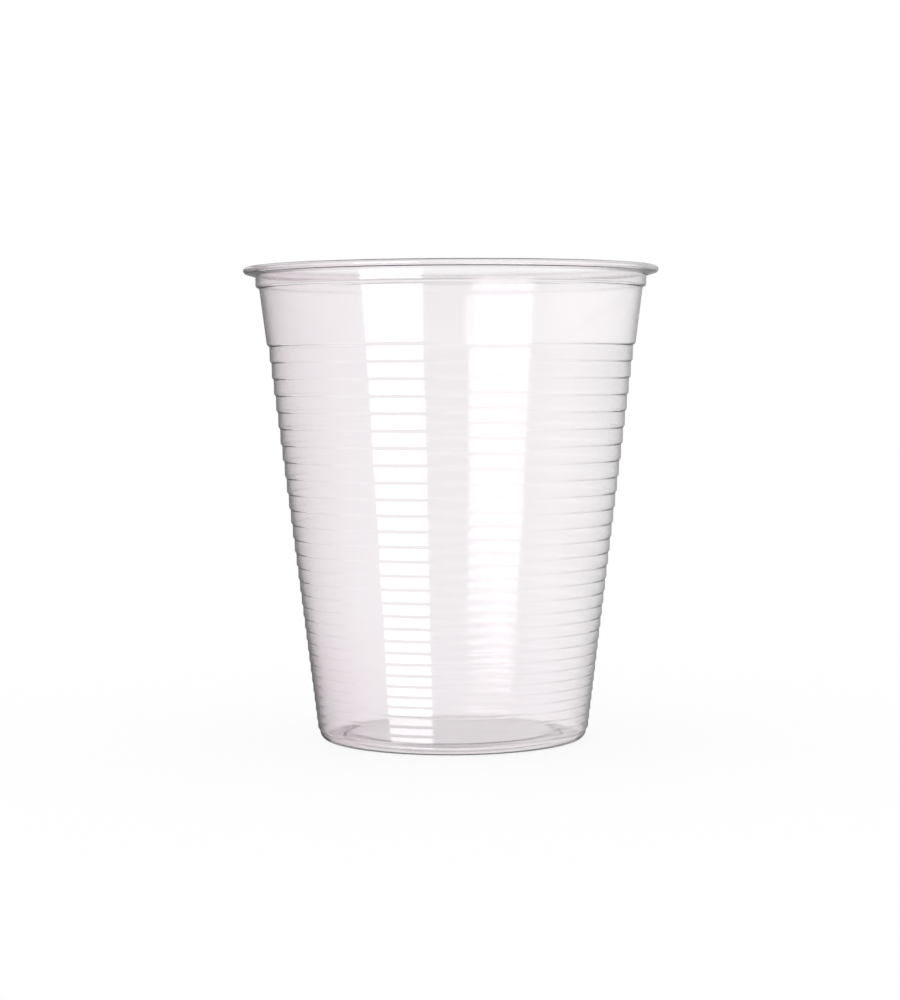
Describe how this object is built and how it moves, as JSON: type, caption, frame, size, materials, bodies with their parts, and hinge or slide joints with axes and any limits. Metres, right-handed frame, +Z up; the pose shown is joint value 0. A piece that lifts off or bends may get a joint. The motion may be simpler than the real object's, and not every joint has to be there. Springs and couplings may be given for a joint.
{
  "type": "plastic disposable cup",
  "caption": "Clear thin-walled tapered drinking cup with a rolled rim, a stacking neck, a plain drinking band, finely stepped walls and a recessed base.",
  "frame": {"origin": "centre of the foot ring, on the surface the cup stands on", "axes": "+Z up along the cup's axis, from the base to the mouth; +X and +Y are level and the cup is the same all round"},
  "size_m": [0.0702, 0.0702, 0.0801],
  "materials": {
    "clear_plastic": "clear thin plastic sheet with a smooth gloss and a faint lilac grey cast"
  },
  "bodies": {
    "root": {"cup": "clear_plastic"}
  },
  "joints": []
}
